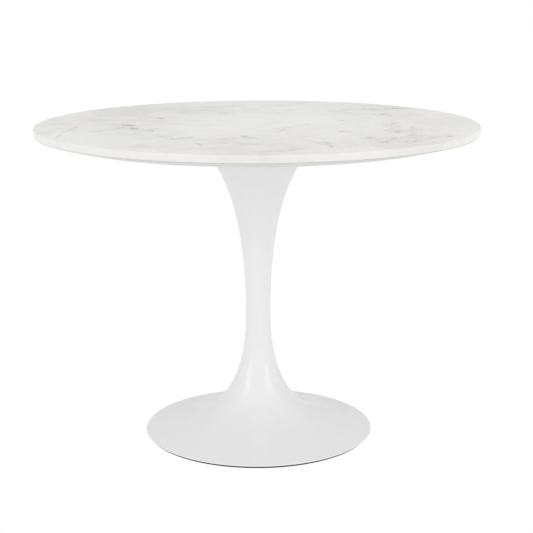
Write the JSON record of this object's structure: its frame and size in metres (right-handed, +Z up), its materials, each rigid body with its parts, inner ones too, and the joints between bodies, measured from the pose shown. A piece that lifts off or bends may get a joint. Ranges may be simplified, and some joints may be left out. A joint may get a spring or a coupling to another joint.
{
  "type": "round pedestal table",
  "caption": "Round dining table with a marble slab top on a white one-piece trumpet pedestal, bolted together by a rod down the column.",
  "frame": {"origin": "on the floor, on the axis of the pedestal, at the middle of the floor ring's underside", "axes": "+Z up the axis of the pedestal; X and Y are level and alike, since the table is round"},
  "size_m": [1.016, 1.016, 0.737],
  "materials": {
    "marble": "gloss",
    "board_lacquer": "satin",
    "white_lacquer": "gloss",
    "black_rubber": "matte",
    "black_steel": "satin",
    "zinc_steel": "satin",
    "brass_insert": "satin"
  },
  "bodies": {
    "root": {"marble_slab": "marble", "backing_board": "board_lacquer", "mounting_plate": "black_steel", "rod_socket": "black_steel", "board_insert_1": "brass_insert", "board_insert_2": "brass_insert", "board_insert_3": "brass_insert", "board_insert_4": "brass_insert", "board_insert_5": "brass_insert", "board_insert_6": "brass_insert", "plate_bolt_1": "zinc_steel", "plate_bolt_2": "zinc_steel", "plate_bolt_3": "zinc_steel", "plate_bolt_4": "zinc_steel", "plate_bolt_5": "zinc_steel", "plate_bolt_6": "zinc_steel", "pedestal": "white_lacquer", "ballast_plate": "black_steel", "ballast_screw_1": "zinc_steel", "ballast_screw_2": "zinc_steel", "ballast_screw_3": "zinc_steel", "ballast_screw_4": "zinc_steel", "ballast_screw_5": "zinc_steel", "ballast_screw_6": "zinc_steel", "floor_ring": "black_rubber", "tie_rod": "zinc_steel", "clamp_washer": "zinc_steel", "spring_washer": "zinc_steel", "clamp_nut": "zinc_steel"}
  },
  "joints": []
}
